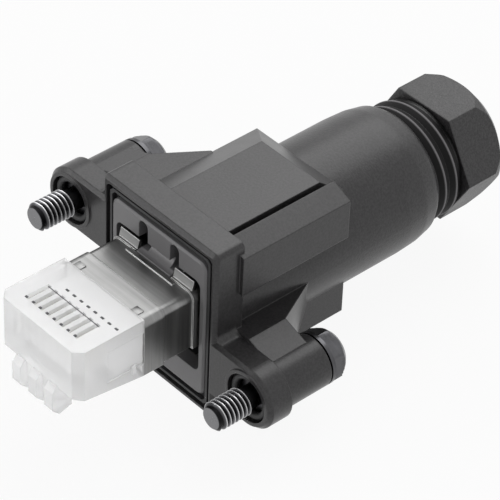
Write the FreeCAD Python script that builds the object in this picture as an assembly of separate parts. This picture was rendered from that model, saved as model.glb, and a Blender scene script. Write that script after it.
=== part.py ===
import FreeCAD, Part
import math
import os

# Round ethernet plug for field assembly: a moulded hood with two captive screws,
# a clear modular plug in a sheet metal shield, and a cable gland at the back.
# All lengths are millimetres. Y runs along the plug, with the mating side towards -Y.
# X = 0 is the plug's centre plane, Z = 0 is the sleeve's axis and Y = 0 is the rim
# of the hood.

# Flange: the flat box of the hood and its raised band
flange_half_width = 8.25
flange_half_height = 10.15
band_depth = 3.45
band_corner_radius = 0.6
rim_chamfer = 0.4

# Ears and their bosses
screw_x = 13.05
screw_z = 3.8
boss_band_radius = 3.4
boss_radius = 2.8
boss_end_y = 8.3
collar_depth = 2.7
web_outer_x = 10.1
web_half_height = 3.8
web_end_y = 7.4
ear_root_radius = 1.0
ear_chamfer = 0.35
boss_ring_radius = 3.0
boss_ring_height = 0.15
counterbore_radius = 2.6
counterbore_depth = 0.95
ring_bore_radius = 2.2
ring_bore_depth = 4.3
screw_hole_radius = 1.58

# Hood body behind the band
ridge_x = 2.4
body_top = 10.0
shoulder_x = 6.65
shoulder_z = 7.4
body_end_y = 18.4
slope_start_y = 15.1
slot_inner_x = 5.85
slot_width = 0.5
panel_outer_x = 8.75
panel_inner_z = 9.8
panel_outer_z = 8.75
panel_low_z = 4.3
panel_end_y = 16.5
join_depth = 0.5
gusset_high_end_y = 12.4
gusset_low_end_y = 14.6

# Sleeve, shoulder and threaded neck
sleeve_radius = 7.6
shoulder_start_y = 26.4
shoulder_end_y = 31.05
shoulder_end_radius = 6.7
shoulder_steps = 3
neck_radius = 6.2
thread_start_y = 34.6
thread_radius = 5.7
neck_end_y = 37.4
neck_bore_radius = 5.28
sleeve_bore_radius = 5.3
cable_neck_radius = 4.0
cable_neck_start_y = 29.0
cable_neck_end_y = 31.6

# Pocket for the insert and the plug
pocket_half_width = 6.15
pocket_low_z = -5.6
pocket_high_z = 6.2
pocket_end_y = 9.0
leg_pocket_half_width = 5.0
leg_pocket_low_z = -6.9
leg_pocket_high_z = 7.5
fit_gap = 0.05

# Front insert
plate_half_width = 6.8
plate_half_height = 8.2
plate_front_y = 0.0
plate_back_y = 1.5
plate_corner_radius = 0.9
window_half_width = 6.1
window_low_z = -5.4
window_high_z = 5.75
window_corner_radius = 0.8
notch_left_x = -2.15
notch_right_x = 2.35
notch_width = 1.3
notch_top_z = 7.95
plate_edge_chamfer = 0.2
leg_half_width = 4.9
leg_width = 1.2
leg_thickness = 1.0
leg_end_y = 8.0
tongue_half_width = 2.4
tongue_low_z = 4.2
tongue_front_y = -0.6
tongue_end_y = 6.0
tongue_saddle_radius = 1.35

# Front gasket
gasket_back_y = 1.1
gasket_front_y = 0.7
gasket_lip_y = 0.15
gasket_side_width = 0.8
gasket_end_width = 1.2
gasket_outer_half_width = plate_half_width + gasket_side_width
gasket_outer_half_height = plate_half_height + gasket_end_width
gasket_lip_inset = 0.35
gasket_lip_width = 0.3
gasket_corner_cut = 0.4

# Modular plug
plug_half_width = 5.84
plug_front_y = -14.6
plug_top_z = 4.7
plug_front_low_z = -1.1
plug_back_low_z = -2.2
plug_end_y = 7.4
nose_chamfer = 0.85
side_recess_front_y = -11.05
side_recess_low_z = -0.6
side_recess_high_z = 3.15
side_recess_depth = 0.15
shield_front_y = -6.6
shield_end_y = 6.6
shield_top_z = 4.5
shield_edge_radius = 0.9
shield_thickness = 0.2
shield_gap = 0.03
shield_step = 0.15
shield_band_end_y = -4.15
shield_rim_y = -0.6
shield_rim_end_y = 0.1
shield_rim_height = 0.05
shield_opening_half_width = 2.6
shield_opening_front_y = -0.7
bead_half_width = 3.4
bead_width = 0.45
bead_height = 0.12
flap_inner_x = 2.6
flap_outer_x = 5.3
flap_top_z = 5.45
flap_lean = 0.35

# Contacts
contact_count = 8
contact_pitch = 1.02
contact_thickness = 0.35
contact_top_z = 4.35
contact_low_z = 0.9
contact_front_y = -12.85
contact_end_y = -10.4
contact_tooth = 0.9
contact_corner = 0.3
slot_gap = 0.06
slot_front_y = -13.0
slot_end_y = -10.2

# Load bar: the wire guide inside the plug
bar_half_width = 4.7
bar_low_z = -0.7
bar_high_z = 2.2
bar_front_y = -9.6
bar_end_y = 5.6
bar_hole_radius = 0.5
bar_hole_pitch = 1.12
bar_hole_stagger = 0.35
bar_gap = 0.05

# Latch below the nose, moulded with the plug
latch_half_width = 3.0
latch_rib_width = 1.25
latch_front_y = -15.3
latch_root_end_y = -13.0
latch_low_z = -4.4
latch_arm_half_width = 1.6
latch_arm_thickness = 0.8
latch_arm_end_y = 2.6
latch_arm_end_low_z = -4.3
latch_arm_root_z = -3.6
latch_rib_nose = 0.5
latch_rib_rise = 0.4
latch_rib_slant = 0.8
latch_bridge_low_z = -3.7

# Captive screws
screw_radius = 1.5
screw_tip_y = -4.5
screw_tip_chamfer = 0.35
thread_end_y = -0.1
waist_radius = 1.15
waist_end_y = 1.75
head_front_y = 8.5
head_flange_radius = 2.8
head_flange_depth = 0.4
head_height = 2.4
head_across_flats = 4.8
head_chamfer = 0.8
retainer_front_y = 1.0
retainer_thickness = 0.5
retainer_bore_gap = 0.05
retainer_side_gap = 0.08
o_ring_y = 0.5
o_ring_section_radius = 0.4
o_ring_gap = 0.06

# Cable gland
nut_corner_radius = 7.25
nut_front_y = 34.9
nut_flat_end_y = 38.6
nut_end_y = 41.2
nut_end_radius = 5.1
nut_crown_y = 39.9
nut_crown_radius = 6.65
nut_thread_gap = 0.08
nut_bore_end_y = 39.7
nut_mouth_radius = 3.7
seal_inner_radius = 3.05
seal_outer_radius = 4.5
seal_seat_gap = 0.4
seal_front_y = cable_neck_end_y + seal_seat_gap
seal_end_y = 38.2
cage_outer_radius = 5.2
cage_gap = 0.08
cage_end_y = 38.9
cage_slot_count = 8
cage_slot_width = 0.9
cage_ring_length = 2.2
cage_slot_front_y = seal_front_y + cage_ring_length
thrust_ring_inner_radius = 4.1
thrust_ring_outer_radius = 5.67
thrust_ring_front_y = 39.0
thrust_ring_end_y = 39.62

# Distances below this count as none
tiny = 1e-6

axis_y = FreeCAD.Vector(0, 1, 0)


def vec(x, y, z):
    return FreeCAD.Vector(x, y, z)


def box(x0, x1, y0, y1, z0, z1):
    return Part.makeBox(x1 - x0, y1 - y0, z1 - z0, vec(x0, y0, z0))


def rod(radius, y0, y1, x=0.0, z=0.0):
    return Part.makeCylinder(radius, y1 - y0, vec(x, y0, z), axis_y)


def prism_y(points, y0, y1):
    # Extrudes an outline given as (x, z) pairs from y0 to y1
    wire = Part.makePolygon([vec(x, y0, z) for x, z in points + points[:1]])
    return Part.Face(wire).extrude(vec(0, y1 - y0, 0))


def prism_x(points, x0, x1):
    # Extrudes an outline given as (y, z) pairs from x0 to x1
    wire = Part.makePolygon([vec(x0, y, z) for y, z in points + points[:1]])
    return Part.Face(wire).extrude(vec(x1 - x0, 0, 0))


def turned(points):
    # Turns an outline given as (radius, y) pairs about the Y axis
    wire = Part.makePolygon([vec(r, y, 0) for r, y in points + points[:1]])
    return Part.Face(wire).revolve(vec(0, 0, 0), axis_y, 360)


def half_turn(shape):
    copy = shape.copy()
    copy.rotate(vec(0, 0, 0), axis_y, 180)
    return copy


def regular_corners(count, radius, first_angle):
    # Corners of a regular polygon as (x, z) pairs
    angles = [math.radians(first_angle + 360.0 * i / count) for i in range(count)]
    return [(radius * math.cos(angle), radius * math.sin(angle)) for angle in angles]


def edges_along_y(shape, above_z):
    # The straight edges parallel to Y that lie higher than above_z
    found = []
    for edge in shape.Edges:
        a, b = edge.Vertexes[0].Point, edge.Vertexes[-1].Point
        straight = abs(a.x - b.x) < tiny and abs(a.z - b.z) < tiny
        if straight and abs(a.y - b.y) > tiny and a.z > above_z:
            found.append(edge)
    return found


def edges_in_plane_y(shape, y):
    return [e for e in shape.Edges if abs(e.BoundBox.YMin - y) < tiny and abs(e.BoundBox.YMax - y) < tiny]


def fused(shapes):
    return shapes[0].fuse(shapes[1:]).removeSplitter()


def rounded_block(half_width, low_z, high_z, y0, y1, radius):
    block = box(-half_width, half_width, y0, y1, low_z, high_z)
    return block.makeFillet(radius, edges_along_y(block, low_z - 1))


def cornered_block(half_width, half_height, y0, y1):
    block = box(-half_width, half_width, y0, y1, -half_height, half_height)
    return block.makeChamfer(gasket_corner_cut, edges_along_y(block, -half_height - 1))


def flange_box():
    block = rounded_block(flange_half_width, -flange_half_height, flange_half_height, 0, band_depth,
                          band_corner_radius)
    return block.makeChamfer(rim_chamfer, edges_in_plane_y(block, 0))


def ear():
    # The left ear: a collar with a chamfered front edge, a narrower boss, and a web that
    # grows taller towards the box
    root = -flange_half_width + 1.0
    low, high = screw_z - boss_band_radius, screw_z + boss_band_radius
    collar = fused([box(-screw_x, root, 0, collar_depth, low, high),
                    rod(boss_band_radius, 0, collar_depth, -screw_x, screw_z)])
    collar = collar.makeChamfer(ear_chamfer, edges_in_plane_y(collar, 0))
    boss = rod(boss_radius, collar_depth, boss_end_y, -screw_x, screw_z)
    web = prism_y([(-screw_x, screw_z - boss_radius), (-web_outer_x, screw_z - web_half_height),
                   (root, screw_z - web_half_height), (root, screw_z + web_half_height),
                   (-web_outer_x, screw_z + web_half_height), (-screw_x, screw_z + boss_radius)],
                  collar_depth, web_end_y)
    ring = rod(boss_ring_radius, -boss_ring_height, ear_chamfer, -screw_x, screw_z)
    return [collar, boss, web, ring]


def ear_root():
    # Concave corners where the left ear meets the side of the box
    fillets = []
    face = -flange_half_width
    outer = face - ear_root_radius
    for way in (-1, 1):
        edge_z = screw_z + way * boss_band_radius
        far_z = edge_z + way * ear_root_radius
        block = box(outer, face, ear_chamfer, collar_depth, min(edge_z, far_z), max(edge_z, far_z))
        fillets.append(block.cut(rod(ear_root_radius, 0, collar_depth + 1, outer, far_z)))
    return fillets


def gusset():
    # The slanted wall from the left ear to the body; its end leans forward towards the top
    sections = []
    low_z, high_z = screw_z - web_half_height, screw_z + web_half_height
    for z, end_y in ((low_z, gusset_low_end_y), (high_z, gusset_high_end_y)):
        points = [vec(-slot_inner_x, collar_depth, z), vec(-web_outer_x, collar_depth, z),
                  vec(-web_outer_x, web_end_y, z), vec(-shoulder_x, end_y, z), vec(-slot_inner_x, end_y, z)]
        sections.append(Part.makePolygon(points + points[:1]))
    return Part.makeLoft(sections, True, True)


def body_half():
    # The upper half of the body behind the band; the lower half is the same turned round
    panel_inner_x = slot_inner_x + slot_width
    block = prism_y([(-shoulder_x, 0), (-shoulder_x, shoulder_z), (-ridge_x, body_top),
                     (slot_inner_x, body_top), (slot_inner_x, 0)], band_depth - join_depth, body_end_y)
    slope = prism_x([(slope_start_y, body_top), (body_end_y, shoulder_z), (body_end_y + 1, shoulder_z),
                     (body_end_y + 1, body_top + 1), (slope_start_y, body_top + 1)],
                    -shoulder_x - 1, slot_inner_x + 1)
    panel = prism_y([(panel_inner_x, panel_inner_z), (panel_outer_x, panel_outer_z),
                     (panel_outer_x, panel_low_z), (shoulder_x - 1, panel_low_z),
                     (panel_inner_x, panel_low_z + 1)], band_depth - join_depth, panel_end_y)
    return [block.cut(slope), panel]


def sleeve():
    # The shoulder is a quarter wave from the sleeve to above the neck, turned as short cones
    front_y = band_depth - join_depth
    outline = [(0, front_y), (sleeve_radius, front_y), (sleeve_radius, shoulder_start_y)]
    for i in range(1, shoulder_steps + 1):
        angle = 0.5 * math.pi * i / shoulder_steps
        drop = (sleeve_radius - shoulder_end_radius) * (1 - math.cos(angle))
        along = (shoulder_end_y - shoulder_start_y) * math.sin(angle)
        outline.append((sleeve_radius - drop, shoulder_start_y + along))
    outline += [(neck_radius, shoulder_end_y), (neck_radius, thread_start_y), (thread_radius, thread_start_y),
                (thread_radius, neck_end_y), (0, neck_end_y)]
    return turned(outline)


def screw_places():
    # Where the two screws stand, as (x, z)
    return {"left": (-screw_x, screw_z), "right": (screw_x, -screw_z)}


def hood():
    shapes = [flange_box(), sleeve()]
    for piece in ear() + ear_root() + [gusset()] + body_half():
        shapes += [piece, half_turn(piece)]
    solid = fused(shapes)
    cuts = [rounded_block(pocket_half_width, pocket_low_z, pocket_high_z, -1, pocket_end_y,
                          window_corner_radius),
            box(-leg_pocket_half_width, leg_pocket_half_width, -1, pocket_end_y, leg_pocket_low_z,
                leg_pocket_high_z),
            rod(sleeve_bore_radius, pocket_end_y - 1, cable_neck_start_y),
            rod(cable_neck_radius, cable_neck_start_y - 1, cable_neck_end_y + 1),
            rod(neck_bore_radius, cable_neck_end_y, neck_end_y + 1),
            rounded_block(gasket_outer_half_width + fit_gap, -gasket_outer_half_height - fit_gap,
                          gasket_outer_half_height + fit_gap, -1, gasket_back_y, band_corner_radius),
            rounded_block(plate_half_width + fit_gap, -plate_half_height - fit_gap,
                          plate_half_height + fit_gap, -1, plate_back_y, plate_corner_radius)]
    for x, z in screw_places().values():
        cuts.append(rod(screw_hole_radius, -1, boss_end_y + 1, x, z))
        cuts.append(rod(ring_bore_radius, -1, ring_bore_depth, x, z))
        cuts.append(rod(counterbore_radius, -1, counterbore_depth, x, z))
    return solid.cut(cuts)


def notch(x):
    # A round-topped notch in the window's upper edge
    radius = notch_width / 2
    return fused([box(x - radius, x + radius, plate_front_y - 1, plate_back_y + 1, window_high_z - 1,
                      notch_top_z - radius),
                  rod(radius, plate_front_y - 1, plate_back_y + 1, x, notch_top_z - radius)])


def tongue():
    # A finger above the plug that reaches into the shield's opening, with a hollow front
    top_z = window_high_z + plate_edge_chamfer
    block = box(-tongue_half_width, tongue_half_width, tongue_front_y, tongue_end_y, tongue_low_z, top_z)
    hollow = Part.makeCylinder(tongue_saddle_radius, 2 * tongue_half_width + 2,
                               vec(-tongue_half_width - 1, tongue_front_y, top_z), vec(1, 0, 0))
    return block.cut(hollow)


def front_insert():
    plate = rounded_block(plate_half_width, -plate_half_height, plate_half_height, plate_front_y,
                          plate_back_y, plate_corner_radius)
    plate = plate.makeChamfer(plate_edge_chamfer, edges_in_plane_y(plate, plate_front_y))
    window = rounded_block(window_half_width, window_low_z, window_high_z, plate_front_y - 1,
                           plate_back_y + 1, window_corner_radius)
    plate = plate.cut(window)
    top_leg_z = leg_pocket_high_z - fit_gap
    low_leg_z = leg_pocket_low_z + fit_gap
    inner_x = leg_half_width - leg_width
    start_y = plate_back_y - plate_edge_chamfer
    legs = []
    for x0, x1 in ((-leg_half_width, -inner_x), (inner_x, leg_half_width)):
        legs.append(box(x0, x1, start_y, leg_end_y, top_leg_z - leg_thickness, top_leg_z))
        legs.append(box(x0, x1, start_y, leg_end_y, low_leg_z, low_leg_z + leg_thickness))
    return fused([plate, tongue()] + legs).cut([notch(notch_left_x), notch(notch_right_x)])


def front_gasket():
    # A flat ring round the insert with one raised lip; its corners are cut off
    lip_w = gasket_outer_half_width - gasket_lip_inset
    lip_h = gasket_outer_half_height - gasket_lip_inset
    ring = cornered_block(gasket_outer_half_width, gasket_outer_half_height, gasket_front_y, gasket_back_y)
    lip = cornered_block(lip_w, lip_h, gasket_lip_y, gasket_back_y)
    groove = cornered_block(lip_w - gasket_lip_width, lip_h - gasket_lip_width, gasket_lip_y - 1,
                            gasket_front_y)
    hole = rounded_block(plate_half_width + fit_gap, -plate_half_height - fit_gap,
                         plate_half_height + fit_gap, gasket_lip_y - 1, gasket_back_y + 1,
                         plate_corner_radius)
    return fused([ring, lip.cut(groove)]).cut(hole)


def contact_x(index):
    return (index - (contact_count - 1) / 2) * contact_pitch


def plug_nose():
    # The block in front of the shield; its underside drops towards the back
    side = [(plug_front_y, plug_front_low_z), (plug_front_y, plug_top_z), (shield_front_y, plug_top_z),
            (shield_front_y, plug_back_low_z)]
    return prism_x(side, -plug_half_width, plug_half_width)


def shield_section(inset, y0, y1):
    # A block with round upper edges, which is the shield's band where the inset is nothing
    half = plug_half_width - inset
    block = box(-half, half, y0, y1, plug_back_low_z + inset, shield_top_z - inset)
    return block.makeFillet(shield_edge_radius - inset, edges_along_y(block, 0))


def latch_rib(x0, x1):
    y = latch_front_y
    overlap_z = plug_front_low_z + 0.5 * latch_rib_rise
    return prism_x([(y, plug_front_low_z - latch_rib_rise), (y + latch_rib_nose, overlap_z),
                    (latch_root_end_y, overlap_z), (latch_root_end_y, latch_low_z + latch_rib_rise),
                    (y + latch_rib_slant, latch_low_z), (y, latch_low_z + latch_rib_slant)], x0, x1)


def latch():
    # Three ribs at the root, a bridge between them, and the arm that runs back under the plug
    pieces = []
    rib_x = latch_half_width - latch_rib_width / 2
    for x in (-rib_x, 0, rib_x):
        pieces.append(latch_rib(x - latch_rib_width / 2, x + latch_rib_width / 2))
    pieces.append(box(-latch_half_width, latch_half_width, latch_front_y + latch_rib_slant, latch_root_end_y,
                      latch_bridge_low_z, plug_front_low_z + latch_rib_rise))
    start_y = latch_root_end_y - latch_rib_nose
    arm_top = latch_arm_end_low_z + latch_arm_thickness
    pieces.append(prism_x([(start_y, latch_arm_root_z), (start_y, latch_arm_root_z + latch_arm_thickness),
                           (latch_arm_end_y, arm_top), (latch_arm_end_y, latch_arm_end_low_z)],
                          -latch_arm_half_width, latch_arm_half_width))
    return pieces


def nose_front_edges(shape):
    # The upright edges of the nose's front face
    found = []
    for edge in shape.Edges:
        b = edge.BoundBox
        if b.XLength < tiny and abs(b.YMin - plug_front_y) < tiny and abs(b.YMax - plug_front_y) < tiny:
            found.append(edge)
    return found


def plug_body():
    nose = plug_nose()
    nose = nose.makeChamfer(nose_chamfer, nose_front_edges(nose))
    rear = shield_section(shield_step + shield_thickness + shield_gap, shield_front_y - 1, plug_end_y)
    solid = fused([nose, rear] + latch())
    cuts = [box(-bar_half_width - bar_gap, bar_half_width + bar_gap, bar_front_y - bar_gap, plug_end_y + 1,
                bar_low_z - bar_gap, bar_high_z + bar_gap)]
    half = contact_thickness / 2 + slot_gap
    for index in range(contact_count):
        x = contact_x(index)
        cuts.append(box(x - half, x + half, slot_front_y, slot_end_y, contact_low_z - slot_gap,
                        plug_top_z + 1))
    for x in (-plug_half_width, plug_half_width):
        cuts.append(box(x - side_recess_depth, x + side_recess_depth, side_recess_front_y, shield_front_y + 1,
                        side_recess_low_z, side_recess_high_z))
    return solid.cut(cuts)


def contact(index):
    # A flat blade with two piercing teeth below
    x = contact_x(index)
    quarter = (contact_end_y - contact_front_y) / 4
    y, end = contact_front_y, contact_end_y
    low, high = contact_low_z, contact_top_z
    root, corner = low + contact_tooth, contact_corner
    outline = [(y, root), (y, high - corner), (y + corner, high), (end - corner, high), (end, high - corner),
               (end, root), (y + 3 * quarter, low), (y + 2 * quarter, root), (y + quarter, low)]
    return prism_x(outline, x - contact_thickness / 2, x + contact_thickness / 2)


def load_bar():
    bar = box(-bar_half_width, bar_half_width, bar_front_y, bar_end_y, bar_low_z, bar_high_z)
    holes = []
    mid_z = (bar_low_z + bar_high_z) / 2
    for index in range(contact_count):
        x = (index - (contact_count - 1) / 2) * bar_hole_pitch
        z = mid_z + bar_hole_stagger * (1 if index % 2 else -1)
        corners = [(x + dx, z + dz) for dx, dz in regular_corners(8, bar_hole_radius, 22.5)]
        holes.append(prism_y(corners, bar_front_y - 1, bar_end_y + 1))
    return bar.cut(holes)


def flap(x0, x1):
    # A corner of the shield that is bent up towards the plate
    low_z = shield_top_z - shield_step
    return prism_x([(shield_rim_end_y - flap_lean - shield_thickness, low_z - shield_thickness),
                    (shield_rim_end_y - shield_thickness, flap_top_z), (shield_rim_end_y, flap_top_z),
                    (shield_rim_end_y, low_z - shield_thickness)], x0, x1)


def plug_shield():
    # A folded sheet round the plug's back: a raised band in front, a rim by the insert,
    # and an opening for the insert's tongue between two bent-up corners
    sheet_top_z = shield_top_z - shield_step
    front_y, wide = shield_opening_front_y, shield_opening_half_width
    pieces = [shield_section(0, shield_front_y, shield_band_end_y),
              shield_section(shield_step, shield_band_end_y, shield_end_y),
              shield_section(-shield_rim_height, shield_rim_y, shield_rim_end_y),
              box(-bead_half_width, bead_half_width, front_y - bead_width, front_y,
                  sheet_top_z - shield_thickness, sheet_top_z + bead_height)]
    inner = shield_section(shield_step + shield_thickness, shield_front_y - 1, shield_end_y + 1)
    opening = box(-wide, wide, front_y, shield_end_y + 1, sheet_top_z - shield_edge_radius, shield_top_z + 1)
    sheet = fused(pieces).cut([inner, opening])
    return fused([sheet, flap(-flap_outer_x, -flap_inner_x), flap(flap_inner_x, flap_outer_x)])


def captive_screw(x, z):
    # Thread, waist for the retaining ring, plain shank, washer face and hexagon head
    head_radius = head_across_flats / math.sqrt(3)
    hexagon_front_y = head_front_y + head_flange_depth
    head_end_y = head_front_y + head_height
    shank = turned([(0, screw_tip_y), (screw_radius - screw_tip_chamfer, screw_tip_y),
                    (screw_radius, screw_tip_y + screw_tip_chamfer), (screw_radius, thread_end_y),
                    (waist_radius, thread_end_y), (waist_radius, waist_end_y), (screw_radius, waist_end_y),
                    (screw_radius, head_front_y), (head_flange_radius, head_front_y),
                    (head_flange_radius, hexagon_front_y), (0, hexagon_front_y)])
    head = prism_y(regular_corners(6, head_radius, 30), head_front_y, head_end_y)
    dome = turned([(0, head_front_y), (head_radius, head_front_y), (head_radius, head_end_y - head_chamfer),
                   (head_radius - head_chamfer, head_end_y), (0, head_end_y)])
    solid = fused([shank, head.common(dome)])
    solid.translate(vec(x, 0, z))
    return solid


def screw_retainer(x, z):
    ring = rod(ring_bore_radius - retainer_side_gap, retainer_front_y, retainer_front_y + retainer_thickness)
    ring = ring.cut(rod(waist_radius + retainer_bore_gap, retainer_front_y - 1,
                        retainer_front_y + retainer_thickness + 1))
    ring.translate(vec(x, 0, z))
    return ring


def screw_o_ring(x, z):
    # The round section is turned as a hexagon
    middle = counterbore_radius - o_ring_gap - o_ring_section_radius
    ring = turned([(middle + r, o_ring_y + y) for r, y in regular_corners(6, o_ring_section_radius, 0)])
    ring.translate(vec(x, 0, z))
    return ring


def gland_nut():
    hexagon = prism_y(regular_corners(6, nut_corner_radius, 0), nut_front_y, nut_end_y)
    dome = turned([(0, nut_front_y), (nut_corner_radius, nut_front_y), (nut_corner_radius, nut_flat_end_y),
                   (nut_crown_radius, nut_crown_y), (nut_end_radius, nut_end_y), (0, nut_end_y)])
    bore_radius = thread_radius + nut_thread_gap
    inner = turned([(0, nut_front_y - 1), (bore_radius, nut_front_y - 1), (bore_radius, nut_bore_end_y),
                    (nut_mouth_radius, nut_bore_end_y), (nut_mouth_radius, nut_end_y + 1),
                    (0, nut_end_y + 1)])
    return hexagon.common(dome).cut(inner)


def gland_seal():
    ring = rod(seal_outer_radius, seal_front_y, seal_end_y)
    return ring.cut(rod(seal_inner_radius, seal_front_y - 1, seal_end_y + 1))


def gland_thrust_ring():
    # A ring between the nut and the cage that moves with the nut and doesn't turn
    ring = rod(thrust_ring_outer_radius, thrust_ring_front_y, thrust_ring_end_y)
    return ring.cut(rod(thrust_ring_inner_radius, thrust_ring_front_y - 1, thrust_ring_end_y + 1))


def gland_cage():
    # A sleeve whose back end is cut into fingers that close on the seal
    ring = rod(cage_outer_radius, seal_front_y, cage_end_y)
    bore = rod(seal_outer_radius + cage_gap, seal_front_y - 1, cage_end_y + 1)
    slots = []
    for index in range(cage_slot_count):
        cut = box(-cage_slot_width / 2, cage_slot_width / 2, cage_slot_front_y, cage_end_y + 1, 0,
                  cage_outer_radius + 1)
        cut.rotate(vec(0, 0, 0), axis_y, 360.0 * index / cage_slot_count)
        slots.append(cut)
    return ring.cut([bore] + slots)


def nodes():
    found = {"hood": hood(), "front_insert": front_insert(), "front_gasket": front_gasket(),
             "plug_body": plug_body(), "load_bar": load_bar(), "plug_shield": plug_shield(),
             "gland_nut": gland_nut(), "gland_seal": gland_seal(), "gland_cage": gland_cage(),
             "gland_thrust_ring": gland_thrust_ring()}
    for index in range(contact_count):
        found["contact_%d" % (index + 1)] = contact(index)
    for name, (x, z) in screw_places().items():
        found["screw_" + name] = captive_screw(x, z)
        found["screw_retainer_" + name] = screw_retainer(x, z)
        found["screw_o_ring_" + name] = screw_o_ring(x, z)
    return found


os.makedirs("parts", exist_ok=True)
for name, shape in nodes().items():
    shape.exportStep("parts/%s.step" % name)
    print(name, "solids", len(shape.Solids), "valid", shape.isValid())
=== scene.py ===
import math

import bmesh
import bpy
from bpy.props import FloatProperty, FloatVectorProperty, PointerProperty
from mathutils import Matrix, Vector


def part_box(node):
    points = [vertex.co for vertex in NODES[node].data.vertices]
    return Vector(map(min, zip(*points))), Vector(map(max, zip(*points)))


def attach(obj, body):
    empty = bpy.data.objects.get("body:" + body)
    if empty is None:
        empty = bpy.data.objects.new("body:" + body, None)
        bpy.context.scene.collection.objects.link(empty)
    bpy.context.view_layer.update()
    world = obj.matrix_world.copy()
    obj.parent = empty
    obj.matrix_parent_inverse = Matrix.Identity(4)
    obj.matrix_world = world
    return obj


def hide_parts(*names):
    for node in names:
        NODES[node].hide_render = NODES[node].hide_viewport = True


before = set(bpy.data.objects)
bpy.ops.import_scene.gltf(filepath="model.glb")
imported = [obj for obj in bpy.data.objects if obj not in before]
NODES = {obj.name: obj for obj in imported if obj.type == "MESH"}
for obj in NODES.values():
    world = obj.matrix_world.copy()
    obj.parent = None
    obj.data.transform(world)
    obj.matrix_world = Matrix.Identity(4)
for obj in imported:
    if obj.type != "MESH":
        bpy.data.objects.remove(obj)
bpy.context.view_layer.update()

bl_info = {
    "name": "Field Assembly Ethernet Plug",
    "version": (1, 0, 0),
    "blender": (4, 5, 0),
    "location": "View3D > Sidebar > Plug",
    "description": "Builds the looks of a round ethernet plug with a clear modular plug and a cable gland",
    "category": "Add Mesh",
}

MM = 0.001
AXIS_X = Vector((1.0, 0.0, 0.0))
AXIS_Y = Vector((0.0, 1.0, 0.0))
MERGE_DISTANCE = 1e-7
# How far a thread's foot is sunk into the rod below it
THREAD_FOOT = 0.05 * MM
SIDES = ("left", "right")
WHITE = (1.0, 1.0, 1.0, 1.0)
# The slots of the plug's nose, and the top and the step of its shield, in millimetres
SLOT_COUNT, SLOT_PITCH = 8, 1.02
SHIELD_TOP, SHIELD_STEP = 4.5, -4.15
# What the crest attribute says on the screws' plain steel and on their tips. A point this near to
# the edge of either belongs to it.
PLAIN_STEEL, LIGHTER_TIP, BORDER = 0.7, 0.84, 0.01 * MM
# Noise scales of the moulded plastics, in waves for each metre
CLOUD_SCALE, GRIT_SCALE, PORE_SCALE = 420.0, 4200.0, 9000.0
# Where the hood's sleeve and shoulder start and where its neck lies along the axis, with their soft borders
SLEEVE_START, SLEEVE_BLUR = 17.0 * MM, 3.0 * MM
SHOULDER_START, SHOULDER_BLUR = 25.0 * MM, 1.0 * MM
NECK_START, NECK_END, NECK_BLUR = 31.1 * MM, 34.7 * MM, 0.1 * MM
SHOULDER_SOFTNESS = 0.8 * MM


def low(node):
    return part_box(node)[0]


def high(node):
    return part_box(node)[1]


def middle(node):
    return (Vector(low(node)) + Vector(high(node))) / 2


def length(name, text, millimetres):
    return FloatProperty(name=name, description=text, default=millimetres * MM, unit="LENGTH")


def tint(name, text, values):
    return FloatVectorProperty(name=name, description=text, default=values, subtype="COLOR", size=3)


class PlugSizes(bpy.types.PropertyGroup):
    """Sizes of what only the looks have."""

    neck_pitch: length("Neck thread pitch", "Distance between the neck's thread crests", 1.5)
    neck_radius: length("Neck radius", "Radius of the neck behind the shoulder", 6.2)
    neck_crest: length("Neck thread height", "How far the neck's thread stands out", 0.3)
    neck_start: length("Neck thread start", "Where the neck's thread starts along the axis", 31.35)
    neck_crest_width: length("Neck crest width", "Width of the neck thread's flat crest", 0.06)
    neck_turns: FloatProperty(name="Neck turns", description="Turns of the neck's thread", default=2.0)
    neck_lead_in: FloatProperty(name="Neck lead-in", description="Angle at which the neck's thread starts",
                                default=math.radians(120), subtype="ANGLE")
    screw_pitch: length("Screw pitch", "Pitch of the captive screws", 0.5)
    screw_radius: length("Screw radius", "Outer radius of the captive screws' thread", 1.5)
    screw_root: length("Screw root radius", "Radius at the bottom of the screws' thread", 1.17)
    screw_crest_width: length("Screw crest width", "Width of the screw thread's flat crest", 0.05)
    screw_runout: length("Screw runout", "How far the screws' thread stops before the hood's rim", 0.1)
    tip_chamfer: length("Screw tip chamfer", "Chamfer at the screws' tips", 0.06)
    waist_radius: length("Screw waist radius", "Radius of the screws between thread and shank", 1.15)
    waist_end: length("Screw waist end", "Where the screws' waist ends along the axis", 1.75)
    head_flats: length("Head across flats", "Size of the screws' hexagon heads", 4.8)
    head_flange: length("Head washer", "Thickness of the washer face under the heads", 0.4)
    head_height: length("Head height", "Height of the heads with the washer face", 2.4)
    head_chamfer: length("Head chamfer", "Chamfer on the heads' ends", 0.8)
    ring_section: length("O-ring section", "Radius of the O-rings' round section", 0.38)
    edge_softness: length("Edge softness", "Radius of the moulded parts' edges", 0.16)


class PlugColours(bpy.types.PropertyGroup):
    """Colours of the finishes."""

    hood: tint("Hood", "Dark grey of the moulded hood and nut", (0.031, 0.030, 0.031))
    insert: tint("Insert", "Grey of the insert", (0.15, 0.147, 0.151))
    rubber: tint("Rubber", "Black of the seals", (0.020, 0.020, 0.021))
    cage: tint("Gland inside", "Grey of the gland's cage and slip ring", (0.11, 0.11, 0.12))
    clear: tint("Clear plastic", "Tint of the modular plug", (0.98, 0.98, 0.985))
    nickel: tint("Nickel", "Colour of the plug's shield", (0.25, 0.25, 0.248))
    gold: tint("Gold", "Colour of the contacts", (0.92, 0.89, 0.80))
    # Painted shade: this dark grey also paints the line behind the nose's slots and the blocks at the slots'
    # front ends
    mark: tint("Marks", "Dark grey of the marks on the plug's nose", (0.07, 0.07, 0.075))
    steel: tint("Steel", "Dark steel of the screws", (0.09, 0.09, 0.095))
    # Painted highlight: this pale steel brightens the screws' thread crests and the retainer rings' edges
    crest: tint("Crest highlight", "Painted highlight on the screws' crests and edges", (0.62, 0.62, 0.63))


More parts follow.
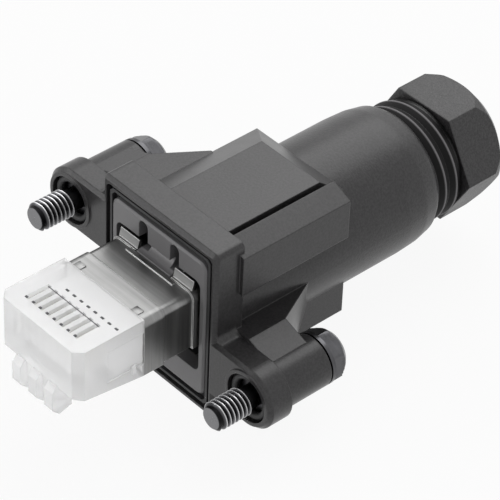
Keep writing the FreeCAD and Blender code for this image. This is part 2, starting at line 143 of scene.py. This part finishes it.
class Value:
    """A shader socket that adds Math nodes when it is worked with."""

    def __init__(self, maker, socket):
        self.maker = maker
        self.socket = socket

    def _math(self, operation, first, second):
        return self.maker.node("ShaderNodeMath", {"operation": operation}, {0: first, 1: second}).out()

    def __add__(self, other):
        return self._math("ADD", self, other)

    def __mul__(self, other):
        return self._math("MULTIPLY", self, other)

    def __sub__(self, other):
        return self._math("SUBTRACT", self, other)

    def __rsub__(self, other):
        return self._math("SUBTRACT", other, self)

    def __truediv__(self, other):
        return self._math("DIVIDE", self, other)

    __radd__ = __add__
    __rmul__ = __mul__

    def clamp(self, first=0.0, last=1.0):
        return self.maker.node("ShaderNodeClamp", {}, {"Value": self, "Min": first, "Max": last}).out()

    def contrast(self, gain):
        """Spreads a value about a half, as noise hardly leaves the middle of its range."""
        return ((self - 0.5) * gain + 0.5).clamp()

    def between(self, start, end, blur):
        """1 where the value lies between start and end, with soft borders."""
        inside = ((self - start) / blur).clamp()
        return inside * ((end - self) / blur).clamp()


class Node:
    """One shader node."""

    def __init__(self, maker, node):
        self.maker = maker
        self.node = node

    def out(self, name=0):
        return Value(self.maker, self.node.outputs[name])


class Finish:
    """Builds the node tree of one material or of the world."""

    def __init__(self, owner):
        owner.use_nodes = True
        self.owner = owner
        self.tree = owner.node_tree
        self.tree.nodes.clear()

    def node(self, kind, settings, inputs):
        made = self.tree.nodes.new(kind)
        for key, value in settings.items():
            setattr(made, key, value)
        for key, value in inputs.items():
            if isinstance(value, Value):
                self.tree.links.new(value.socket, made.inputs[key])
            else:
                made.inputs[key].default_value = value
        return Node(self, made)

    def object_place(self, scale=(1.0, 1.0, 1.0)):
        place = self.node("ShaderNodeTexCoord", {}, {}).out("Object")
        return self.node("ShaderNodeMapping", {}, {"Vector": place, "Scale": scale}).out()

    def along_axis(self):
        place = self.node("ShaderNodeTexCoord", {}, {}).out("Object")
        return self.node("ShaderNodeSeparateXYZ", {}, {"Vector": place}).out("Y")

    def attribute(self, name):
        return self.node("ShaderNodeAttribute", {"attribute_name": name}, {}).out("Fac")

    def noise(self, scale, detail=2.0, rough=0.5, stretch=(1.0, 1.0, 1.0)):
        inputs = {"Vector": self.object_place(stretch), "Scale": scale, "Detail": detail,
                  "Roughness": rough}
        return self.node("ShaderNodeTexNoise", {}, inputs).out("Fac")

    def mix(self, factor, first, second):
        # Inputs 0, 6 and 7 of a colour Mix node are its factor and its two colours
        return self.node("ShaderNodeMix", {"data_type": "RGBA"}, {0: factor, 6: first, 7: second}).out(2)

    def mix_vector(self, factor, first, second):
        # Inputs 0, 4 and 5 of a vector Mix node are its factor and its two vectors
        return self.node("ShaderNodeMix", {"data_type": "VECTOR"}, {0: factor, 4: first, 5: second}).out(1)

    def soft_normal(self, radius):
        return self.node("ShaderNodeBevel", {"samples": 6}, {"Radius": radius}).out()

    def edge(self, soft, gain):
        # 0 on flat stretches, towards 1 where the softened normal leaves the true one
        flat = self.node("ShaderNodeNewGeometry", {}, {}).out("Normal")
        dot = self.node("ShaderNodeVectorMath", {"operation": "DOT_PRODUCT"}, {0: soft, 1: flat})
        along = dot.out("Value")
        return ((1.0 - along) * gain).clamp()

    def bump(self, height, distance, strength, soft=None):
        inputs = {"Height": height, "Distance": distance, "Strength": strength}
        if soft:
            inputs["Normal"] = soft
        return self.node("ShaderNodeBump", {}, inputs).out()

    def seen_white(self):
        """1 for the rays that the camera sees directly, in a mirror or through clear plastic."""
        path = self.node("ShaderNodeLightPath", {}, {})
        seen = path.out("Is Camera Ray") + path.out("Is Glossy Ray") + path.out("Is Transmission Ray")
        return seen.clamp()

    def surface(self, inputs):
        shader = self.node("ShaderNodeBsdfPrincipled", {}, inputs).out()
        self.node("ShaderNodeOutputMaterial", {}, {"Surface": shader})
        return self.owner


def colour(values, factor=1.0):
    return tuple(min(1.0, v * factor) for v in values[:3]) + (1.0,)


def spark_grain(f):
    """Clouds, grit and relief of a spark-eroded mould face."""
    cloud = f.noise(CLOUD_SCALE, 3.0, 0.6).contrast(1.6)
    grit = f.noise(GRIT_SCALE, 2.0, 0.7).contrast(3.5)
    pores = f.noise(PORE_SCALE, 1.0, 0.5)
    return cloud, grit, grit * 0.6 + pores * 0.4


def grain_tone(f, base, cloud, grit, gain):
    """Colour of such a face, with a share of grit that grows with the gain."""
    share = 0.7 * gain
    return f.mix(cloud * (1.0 - share) + grit * share, colour(base, 0.60), colour(base, 1.50))


def hood_plastic(name, sizes, base):
    """Black moulded plastic; grained more on the sleeve, with a painted highlight along its edges and painted
    shade that darkens the neck between its crests.
    """
    f = Finish(bpy.data.materials.new(name))
    y = f.along_axis()
    on_sleeve = ((y - SLEEVE_START) / SLEEVE_BLUR).clamp()
    on_shoulder = ((y - SHOULDER_START) / SHOULDER_BLUR).clamp()
    on_neck = y.between(NECK_START, NECK_END, NECK_BLUR)
    tight = f.soft_normal(sizes.edge_softness)
    wide = f.soft_normal(SHOULDER_SOFTNESS)
    soft = f.mix_vector(on_shoulder, tight, wide)
    cloud, grit, relief = spark_grain(f)
    tone = grain_tone(f, base, cloud, grit, 1.0)
    # Painted highlight: the edges are lightened where the softened normal leaves the true one
    tone = f.mix(f.edge(tight, 1.6), tone, colour(base, 1.9))
    # Painted shade: the neck between the thread's crests is darkened
    tone = f.mix(on_neck * 0.95, tone, colour(base, 0.20))
    rough = 0.28 + cloud * 0.06 + on_sleeve * 0.03
    height = relief * (on_sleeve * 0.7 + 0.3)
    normal = f.bump(height, 0.022 * MM, 0.6, soft)
    return f.surface({"Base Color": tone, "Roughness": rough, "Specular IOR Level": 0.42, "Normal": normal})


def thread_plastic(name, base):
    """The neck's thread: painted shade darkens its flanks and a painted highlight lightens its crest."""
    f = Finish(bpy.data.materials.new(name))
    crest = ((f.attribute("crest") - 0.80) * 5.0).clamp()
    cloud, _, relief = spark_grain(f)
    # Painted shade on the flanks and a painted highlight on the crest
    tone = f.mix(crest, colour(base, 0.25), colour(base, 7.0))
    rough = 0.55 - crest * 0.20 + cloud * 0.05
    return f.surface({"Base Color": tone, "Roughness": rough, "Specular IOR Level": 0.12,
                      "Normal": f.bump(relief, 0.01 * MM, 0.4)})


def nut_plastic(name, base, edge_radius):
    """The nut's coarser grain, with a painted highlight along its edges."""
    f = Finish(bpy.data.materials.new(name))
    soft = f.soft_normal(edge_radius)
    cloud, grit, relief = spark_grain(f)
    tone = grain_tone(f, base, cloud, grit, 1.3)
    # Painted highlight: the edges are lightened
    tone = f.mix(f.edge(soft, 1.6), tone, colour(base, 1.9))
    rough = 0.36 + cloud * 0.08
    normal = f.bump(relief, 0.03 * MM, 0.7, soft)
    return f.surface({"Base Color": tone, "Roughness": rough, "Specular IOR Level": 0.45, "Normal": normal})


def satin_plastic(name, base, edge_radius, roughness):
    """Smooth plastic with faint flow clouds, soft edges and a painted highlight along the edges."""
    f = Finish(bpy.data.materials.new(name))
    soft = f.soft_normal(edge_radius)
    cloud = f.noise(300.0, 3.0, 0.5)
    fine = f.noise(3000.0)
    tone = f.mix(cloud, colour(base, 0.86), colour(base, 1.14))
    # Painted highlight: the edges are lightened
    tone = f.mix(f.edge(soft, 1.5), tone, colour(base, 1.7))
    rough = (roughness - 0.04) + cloud * 0.08
    normal = f.bump(fine, 0.01 * MM, 0.35, soft)
    return f.surface({"Base Color": tone, "Roughness": rough, "Normal": normal})


def soft_rubber(name, base):
    """Matt rubber with a trace of dust."""
    f = Finish(bpy.data.materials.new(name))
    soft = f.soft_normal(0.1 * MM)
    dust = f.noise(900.0, 4.0, 0.65)
    tone = f.mix(dust, colour(base, 0.8), colour(base, 1.6))
    normal = f.bump(dust, 0.015 * MM, 0.5, soft)
    return f.surface({"Base Color": tone, "Roughness": 0.46 + dust * 0.16, "Normal": normal})


def frosted_clear(name, base, frost, clearness, glow):
    """Clear plastic that is a little milky, with wavy moulded faces and painted shade along its edges.

    The glow stands for the light that such plastic scatters inside.
    """
    f = Finish(bpy.data.materials.new(name))
    soft = f.soft_normal(0.12 * MM)
    wave = f.noise(180.0, 2.0, 0.5)
    fine = f.noise(1400.0, 3.0, 0.6)
    tone = f.mix(wave, colour(base, 0.94), colour(base, 1.02))
    # Painted shade: the edges are darkened, standing in for the dark refraction at a clear part's edges
    tone = f.mix(f.edge(soft, 1.2), tone, colour(base, 0.80))
    rough = (frost - 0.05) + fine * 0.1
    normal = f.bump(wave * 0.7 + fine * 0.3, 0.03 * MM, 0.35, soft)
    return f.surface({"Base Color": tone, "Roughness": rough, "IOR": 1.4,
                      "Transmission Weight": clearness, "Emission Color": tone,
                      "Emission Strength": glow, "Normal": normal})


def threaded_steel(name, base, crest_highlight_colour):
    """Dark steel, with painted shade that blackens the thread grooves and a painted highlight that brightens
    the crests.
    """
    f = Finish(bpy.data.materials.new(name))
    crest = f.attribute("crest")
    stain = f.noise(700.0, 3.0, 0.6).contrast(1.8)
    lines = f.noise(1.0, 2.0, 0.5, (300.0, 3000.0, 300.0)).contrast(2.0)
    plain = f.mix(stain * 0.6 + lines * 0.4, colour(base, 0.7), colour(base, 1.3))
    # Painted shade: the thread grooves are blackened
    groove_shade = (1.0 - crest * 1.5).clamp()
    # Painted highlight: the crests are brightened towards the crest colour
    bright = ((crest - 0.80) * 5.0).clamp()
    tone = f.mix(groove_shade, plain, colour(base, 0.10))
    tone = f.mix(bright, tone, colour(crest_highlight_colour))
    rough = 0.24 + stain * 0.10 + groove_shade * 0.25
    return f.surface({"Base Color": tone, "Metallic": 1.0, "Roughness": rough,
                      "Normal": f.bump(lines, 0.006 * MM, 0.4)})


def drawn_metal(name, base, roughness, stretch, edge_highlight_colour, edge_radius):
    """Metal with fine drawing lines along one direction and a painted highlight along its edges."""
    f = Finish(bpy.data.materials.new(name))
    soft = f.soft_normal(edge_radius)
    lines = f.noise(1.0, 3.0, 0.6, stretch)
    stain = f.noise(260.0, 3.0, 0.6)
    tone = f.mix(lines.contrast(2.4) * 0.6 + stain * 0.4, colour(base, 0.62), colour(base, 1.38))
    # Painted highlight: the edges are lightened to the edge colour
    tone = f.mix(f.edge(soft, 2.5), tone, colour(edge_highlight_colour))
    rough = (roughness - 0.05) + lines * 0.06 + stain * 0.05
    normal = f.bump(lines, 0.008 * MM, 0.4, soft)
    return f.surface({"Base Color": tone, "Metallic": 1.0, "Roughness": rough, "Normal": normal})


def keep_outward(bm):
    bmesh.ops.remove_doubles(bm, verts=bm.verts, dist=MERGE_DISTANCE)
    bmesh.ops.recalc_face_normals(bm, faces=bm.faces)


def close_ends(bm):
    rims = [edge for edge in bm.edges if len(edge.link_faces) == 1]
    if rims:
        bmesh.ops.holes_fill(bm, edges=rims, sides=0)


def piece(name, bm, material, body, replaces=(), sharp=32.0, crest=None):
    keep_outward(bm)
    mesh = bpy.data.meshes.new(name)
    bm.to_mesh(mesh)
    bm.free()
    if crest:
        # How near each point is to the thread's crest, from 0 at the root to 1
        marks = mesh.attributes.new("crest", "FLOAT", "POINT")
        for mark, vert in zip(marks.data, mesh.vertices):
            mark.value = crest(vert.co)
    mesh.shade_smooth()
    mesh.set_sharp_from_angle(angle=math.radians(sharp))
    made = bpy.data.objects.new(name, mesh)
    bpy.context.scene.collection.objects.link(made)
    mesh.materials.append(material)
    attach(made, body)
    if replaces:
        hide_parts(*replaces)
    return made


def dress(node, material):
    """Gives a CAD node its finish."""
    for place in NODES[node].material_slots:
        place.material = material


def outline_edges(bm, points, x, z, closed):
    """Lays (radius, y) points in the plane through the axis at x, z and joins them."""
    verts = [bm.verts.new((x + radius, y, z)) for radius, y in points]
    pairs = list(zip(verts, verts[1:]))
    if closed:
        pairs.append((verts[-1], verts[0]))
    return verts + [bm.edges.new(pair) for pair in pairs]


def revolve(bm, points, x=0.0, z=0.0, steps=96, closed=False):
    """Turns (radius, y) points about the axis along Y through x, z."""
    bmesh.ops.spin(bm, geom=outline_edges(bm, points, x, z, closed), cent=(x, 0, z), axis=AXIS_Y,
                   angle=math.tau, steps=steps, use_merge=True, use_duplicate=False)


def helix(bm, section, x, z, start, pitch, turns, root, first_angle=0.0, steps=48):
    """Sweeps a closed (radius, y) section along a helix about the axis along Y through x, z.

    The thread rises out of the root radius at one end and sinks back into it at the other.
    """
    points = [(radius, start + y) for radius, y in section]
    count = int(turns * steps)
    bmesh.ops.spin(bm, geom=outline_edges(bm, points, x, z, True), cent=(x, 0, z), axis=AXIS_Y,
                   dvec=(0, pitch / steps, 0), angle=math.tau * count / steps, steps=count,
                   use_merge=False, use_duplicate=False)
    bm.verts.ensure_lookup_table()
    fade = steps / 6
    for index, vert in enumerate(bm.verts):
        step = index // len(section)
        share = min(1.0, step / fade, (count - step) / fade)
        arm = Vector((vert.co.x - x, 0.0, vert.co.z - z))
        over = arm.length - root
        if over > 0:
            arm *= (root - THREAD_FOOT + (over + THREAD_FOOT) * share) / arm.length
            vert.co.x, vert.co.z = x + arm.x, z + arm.z
    bmesh.ops.rotate(bm, verts=bm.verts, cent=(x, 0, z), matrix=Matrix.Rotation(first_angle, 3, "Y"))
    close_ends(bm)


def ridge(root, crest, pitch, crest_width):
    """The section of one thread turn, with its foot sunk into the rod below it."""
    return [(root - THREAD_FOOT, -0.49 * pitch), (root, -0.49 * pitch), (crest, -crest_width / 2),
            (crest, crest_width / 2), (root, 0.49 * pitch), (root - THREAD_FOOT, 0.49 * pitch)]


def keep_within(bm, x, z, limit):
    """Draws in every vertex that lies further from the axis than limit(y, angle) allows."""
    for vert in bm.verts:
        arm = Vector((vert.co.x - x, 0.0, vert.co.z - z))
        most = limit(vert.co.y, math.atan2(arm.z, arm.x))
        if arm.length > most:
            arm *= most / arm.length
            vert.co.x, vert.co.z = x + arm.x, z + arm.z


def block(bm, middle_point, size, bevel):
    """A small box with bevelled edges."""
    made = bmesh.ops.create_cube(bm, size=1.0)["verts"]
    bmesh.ops.scale(bm, verts=made, vec=size)
    bmesh.ops.translate(bm, verts=made, vec=middle_point)
    edges = list({edge for vert in made for edge in vert.link_edges})
    bmesh.ops.bevel(bm, geom=edges, offset=bevel, offset_type="OFFSET", segments=2, profile=0.5,
                    affect="EDGES", material=-1)


def place_block(bm, middle_point, size, bevel):
    """A block whose place, size and bevel are in millimetres."""
    block(bm, [value * MM for value in middle_point], [value * MM for value in size], bevel * MM)


def hexagon_head(bm, x, z, sizes, start):
    """A washer face and a domed hexagon, turned and then drawn in to the six flats."""
    apothem = sizes.head_flats / 2
    corner = apothem / math.cos(math.pi / 6)
    flange_end = start + sizes.head_flange
    end = start + sizes.head_height
    rings = 6
    dome = [(corner - sizes.head_chamfer * i / rings, end - sizes.head_chamfer * (1 - i / rings))
            for i in range(rings + 1)]
    # The hexagon starts half-way into the washer face
    foot = flange_end - sizes.head_flange / 2
    revolve(bm, [(0, foot), (corner, foot)] + dome + [(0, end)], x, z, steps=72)

    def flats(y, angle):
        turn = (angle + math.pi / 2) % (math.pi / 3) - math.pi / 6
        return apothem / math.cos(turn)

    keep_within(bm, x, z, flats)


class PLUG_OT_hood(bpy.types.Operator):
    """Gives the hood its moulded plastic and makes the thread on its neck"""
    bl_idname = "plug.hood"
    bl_label = "Hood and neck thread"

    def execute(self, context):
        sizes, colours = context.scene.plug_sizes, context.scene.plug_colours
        dress("hood", hood_plastic("hood_finish", sizes, colours.hood))
        root, crest = sizes.neck_radius, sizes.neck_radius + sizes.neck_crest
        bm = bmesh.new()
        section = ridge(root, crest, sizes.neck_pitch, sizes.neck_crest_width)
        helix(bm, section, 0.0, 0.0, sizes.neck_start, sizes.neck_pitch, sizes.neck_turns, root,
              sizes.neck_lead_in, steps=96)
        piece("neck_thread", bm, thread_plastic("neck_thread_finish", colours.hood), "hood_body",
              crest=lambda co: (math.hypot(co.x, co.z) - root) / (crest - root))
        return {"FINISHED"}


class PLUG_OT_gland(bpy.types.Operator):
    """Dresses the gland nut and the pieces inside it"""
    bl_idname = "plug.gland"
    bl_label = "Cable gland"

    def execute(self, context):
        sizes, colours = context.scene.plug_sizes, context.scene.plug_colours
        dress("gland_nut", nut_plastic("nut_finish", colours.hood, 1.4 * sizes.edge_softness))
        inner = satin_plastic("cage_finish", colours.cage, 0.1 * MM, 0.45)
        dress("gland_cage", inner)
        dress("gland_thrust_ring", inner)
        dress("gland_seal", soft_rubber("gland_rubber", colours.rubber))
        return {"FINISHED"}


class PLUG_OT_front(bpy.types.Operator):
    """Dresses the insert and the gasket in the hood's mouth"""
    bl_idname = "plug.front"
    bl_label = "Insert and gasket"

    def execute(self, context):
        colours = context.scene.plug_colours
        dress("front_insert", satin_plastic("insert_finish", colours.insert, 0.14 * MM, 0.36))
        dress("front_gasket", soft_rubber("gasket_rubber", colours.rubber))
        return {"FINISHED"}


class PLUG_OT_screws(bpy.types.Operator):
    """Makes the captive screws with their threads, and their rings and seals"""
    bl_idname = "plug.screws"
    bl_label = "Captive screws"

    def execute(self, context):
        sizes, colours = context.scene.plug_sizes, context.scene.plug_colours
        steel = threaded_steel("screw_finish", colours.steel, colours.crest)
        rubber = soft_rubber("o_ring_rubber", colours.rubber)
        # Painted highlight: the retainer rings' edges are lightened to the crest colour
        ring = drawn_metal("retainer_finish", colours.steel, 0.35, (900.0, 900.0, 900.0), colours.crest,
                           0.05 * MM)
        for side in SIDES:
            self.screw(side, sizes, steel)
            self.o_ring(side, sizes, rubber)
            dress("screw_retainer_" + side, ring)
        return {"FINISHED"}

    def screw(self, side, sizes, steel):
        node = "screw_" + side
        x, z = middle(node).x, middle(node).z
        tip, head_end = low(node)[1], high(node)[1]
        head_start = head_end - sizes.head_height
        thread_end = -sizes.screw_runout
        root, crest = sizes.screw_root, sizes.screw_radius
        tip_radius = root - sizes.tip_chamfer
        flange_radius, flange_end = high(node)[0] - x, head_start + sizes.head_flange
        bm = bmesh.new()
        # The thread leaves a little more than one pitch free at its two ends together
        turns = (thread_end - tip) / sizes.screw_pitch - 1.2
        helix(bm, ridge(root, crest, sizes.screw_pitch, sizes.screw_crest_width), x, z,
              tip + 0.5 * sizes.screw_pitch, sizes.screw_pitch, turns, root)
        keep_within(bm, x, z, lambda y, angle: tip_radius + max(0.0, y - tip))
        revolve(bm, [(0, tip), (tip_radius, tip), (root, tip + sizes.tip_chamfer), (root, thread_end),
                     (sizes.waist_radius, thread_end), (sizes.waist_radius, sizes.waist_end),
                     (crest, sizes.waist_end), (crest, head_start), (flange_radius, head_start),
                     (flange_radius, flange_end), (0, flange_end)], x, z)
        head = bmesh.new()
        hexagon_head(head, x, z, sizes, head_start)
        whole = bpy.data.meshes.new("head_copy")
        head.to_mesh(whole)
        head.free()
        bm.from_mesh(whole)
        bpy.data.meshes.remove(whole)

        def nearness(co):
            # From the thread's end on the steel is plain, and the tip's face is a little lighter
            if co.y > thread_end - BORDER:
                return PLAIN_STEEL
            if co.y < tip + BORDER:
                return LIGHTER_TIP
            return (math.hypot(co.x - x, co.z - z) - root) / (crest - root)

        piece("threaded_screw_" + side, bm, steel, "screw_%s_body" % side, (node,),
              crest=nearness)

    def o_ring(self, side, sizes, rubber):
        node = "screw_o_ring_" + side
        x, y, z = middle(node)
        around = (high(node)[0] - low(node)[0]) / 2 - sizes.ring_section
        corners = [math.tau * i / 16 for i in range(16)]
        section = [(around + sizes.ring_section * math.cos(a), y + sizes.ring_section * math.sin(a))
                   for a in corners]
        bm = bmesh.new()
        revolve(bm, section, x, z, steps=64, closed=True)
        piece("soft_o_ring_" + side, bm, rubber, "hood_body", (node,))


class PLUG_OT_modular(bpy.types.Operator):
    """Dresses the modular plug, its load bar, contacts and shield"""
    bl_idname = "plug.modular"
    bl_label = "Modular plug"

    def execute(self, context):
        colours = context.scene.plug_colours
        clear = frosted_clear("plug_finish", colours.clear, 0.22, 0.55, 0.07)
        dress("plug_body", clear)
        dress("load_bar", frosted_clear("bar_finish", colours.clear, 0.30, 0.4, 0.06))
        self.marks(clear, colours)
        # Painted highlight: the shield's rounded edges are lightened to this pale edge colour
        shield = drawn_metal("shield_finish", colours.nickel, 0.34, (60.0, 1500.0, 60.0), (0.85, 0.85, 0.84),
                             0.08 * MM)
        dress("plug_shield", shield)
        self.tabs(shield)
        # Painted highlight: the contacts' edges are lightened to this pale gold
        gold = drawn_metal("contact_finish", colours.gold, 0.25, (900.0, 900.0, 90.0), (0.9, 0.85, 0.7),
                           0.05 * MM)
        for node in NODES:
            if node.startswith("contact_"):
                dress(node, gold)
        return {"FINISHED"}

    def marks(self, clear, colours):
        # The catches on both sides; then the ridge behind the slots, dark as painted shade, the row of pips,
        # and the slots' dark tips, which are painted shade
        top, side = high("plug_body")[2], high("plug_body")[0]
        bm = bmesh.new()
        for x in (-side, side):
            place_block(bm, (x / MM, -7.85, -0.75), (0.16, 0.5, 1.2), 0.05)
        piece("nose_catches", bm, clear, "hood_body")
        bm = bmesh.new()
        # Painted shade: a dark line standing in for the shadow of a groove behind the slots
        place_block(bm, (0.15, -10.4, top / MM), (7.5, 0.10, 0.06), 0.02)
        for index in range(SLOT_COUNT):
            along = SLOT_PITCH * index
            place_block(bm, (-2.0 + along, -9.37, top / MM), (0.42, 0.24, 0.08), 0.03)
            # Painted shade: dark blocks standing in for the shadows at the slots' front ends
            place_block(bm, (-3.72 + along, -12.86, top / MM), (0.34, 0.26, 0.08), 0.03)
        shade = satin_plastic("nose_mark_and_shade_finish", colours.mark, 0.03 * MM, 0.5)
        piece("nose_marks_and_shade", bm, shade, "hood_body")

    def tabs(self, shield):
        # The folded corners of the shield that hold the nose, and the line at its step, made bright by the
        # shield finish's painted edge highlight
        front = low("plug_shield")[1] / MM
        bm = bmesh.new()
        for x in (-4.2, 4.2):
            place_block(bm, (x, front + 0.45, SHIELD_TOP + 0.03), (1.0, 0.95, 0.12), 0.03)
        place_block(bm, (0.0, SHIELD_STEP, SHIELD_TOP), (9.8, 0.12, 0.08), 0.03)
        piece("shield_tabs", bm, shield, "hood_body")


class PLUG_OT_stage(bpy.types.Operator):
    """Sets the camera, the floor, the world and the lamps"""
    bl_idname = "plug.stage"
    bl_label = "Stage"

    def execute(self, context):
        scene = context.scene
        self.camera(scene)
        self.floor(low("hood")[2])
        self.world(scene)
        self.softbox("back_softbox", Vector((-0.110, 0.235, 0.330)), 0.39, 0.30, 2.15)
        self.softbox("front_fill", Vector((-0.30, -0.33, 0.12)), 0.25, 0.25, 2.9)
        scene.view_settings.view_transform = "Standard"
        return {"FINISHED"}

    def camera(self, scene):
        # The view's turn, tilt and roll; then millimetres, and pixels for each millimetre
        turn, tilt, roll = math.radians(46.803), math.radians(39.900), math.radians(2.325)
        distance, scale, photo_width = 300.0, 10.1955, 500
        look_at = Vector((0.0, 15.0, 0.0))
        shift = Vector((-2.346, -1.623, distance))
        right = Vector((math.cos(turn), math.sin(turn), 0))
        back = Vector((math.sin(turn) * math.cos(tilt), -math.cos(turn) * math.cos(tilt), math.sin(tilt)))
        up = back.cross(right)
        side = math.cos(roll) * right + math.sin(roll) * up
        rise = math.cos(roll) * up - math.sin(roll) * right
        axes = Matrix((side, rise, back)).transposed()
        data = bpy.data.cameras.new("camera")
        data.lens = scale * distance * data.sensor_width / photo_width
        data.clip_start = 0.01
        made = bpy.data.objects.new("camera", data)
        scene.collection.objects.link(made)
        made.matrix_world = Matrix.Translation((axes @ shift + look_at) * MM) @ axes.to_4x4()
        scene.camera = made

    def floor(self, height):
        bm = bmesh.new()
        bmesh.ops.create_grid(bm, x_segments=1, y_segments=1, size=1.2)
        bmesh.ops.translate(bm, verts=bm.verts, vec=(0, 0, height))
        mesh = bpy.data.meshes.new("floor")
        bm.to_mesh(mesh)
        bm.free()
        f = Finish(bpy.data.materials.new("white_paper"))
        seen = f.seen_white()
        paper = f.node("ShaderNodeBsdfDiffuse", {}, {"Color": (0.8, 0.8, 0.8, 1.0)}).out()
        glow = f.node("ShaderNodeEmission", {}, {"Color": WHITE, "Strength": 1.0}).out()
        mixed = f.node("ShaderNodeMixShader", {}, {0: seen * 0.92, 1: paper, 2: glow}).out()
        f.node("ShaderNodeOutputMaterial", {}, {"Surface": mixed})
        mesh.materials.append(f.owner)
        made = bpy.data.objects.new("floor", mesh)
        bpy.context.scene.collection.objects.link(made)

    def world(self, scene):
        scene.world = bpy.data.worlds.new("studio")
        f = Finish(scene.world)
        seen = f.seen_white()
        diffuse_level = 0.5
        strength = seen * (1.0 - diffuse_level) + diffuse_level
        sky = f.node("ShaderNodeBackground", {}, {"Color": WHITE, "Strength": strength}).out()
        f.node("ShaderNodeOutputWorld", {}, {"Surface": sky})

    def softbox(self, name, place, width, depth, brightness):
        # The lamp faces the object, with its width level with X
        data = bpy.data.lights.new(name, "AREA")
        data.shape = "RECTANGLE"
        data.size = width
        data.size_y = depth
        data.energy = brightness * math.pi * width * depth
        made = bpy.data.objects.new(name, data)
        bpy.context.scene.collection.objects.link(made)
        back = place.normalized()
        right = (AXIS_X - back * AXIS_X.dot(back)).normalized()
        axes = Matrix((right, back.cross(right), back)).transposed()
        made.matrix_world = Matrix.Translation(place) @ axes.to_4x4()


class PLUG_PT_panel(bpy.types.Panel):
    """Lists the steps and the settings"""
    bl_idname = "PLUG_PT_panel"
    bl_label = "Ethernet plug"
    bl_space_type = "VIEW_3D"
    bl_region_type = "UI"
    bl_category = "Plug"

    def draw(self, context):
        for step in STEPS:
            self.layout.operator(step.bl_idname)
        for group in (context.scene.plug_sizes, context.scene.plug_colours):
            for key in group.__annotations__:
                self.layout.prop(group, key)


STEPS = (PLUG_OT_hood, PLUG_OT_gland, PLUG_OT_front, PLUG_OT_screws, PLUG_OT_modular, PLUG_OT_stage)
CLASSES = (PlugSizes, PlugColours) + STEPS + (PLUG_PT_panel,)


def register():
    for kind in CLASSES:
        bpy.utils.register_class(kind)
    bpy.types.Scene.plug_sizes = PointerProperty(type=PlugSizes)
    bpy.types.Scene.plug_colours = PointerProperty(type=PlugColours)


def unregister():
    del bpy.types.Scene.plug_colours
    del bpy.types.Scene.plug_sizes
    for kind in reversed(CLASSES):
        bpy.utils.unregister_class(kind)


def main():
    register()
    bpy.ops.plug.hood()
    bpy.ops.plug.gland()
    bpy.ops.plug.front()
    bpy.ops.plug.screws()
    bpy.ops.plug.modular()
    bpy.ops.plug.stage()


if __name__ == "__main__":
    main()
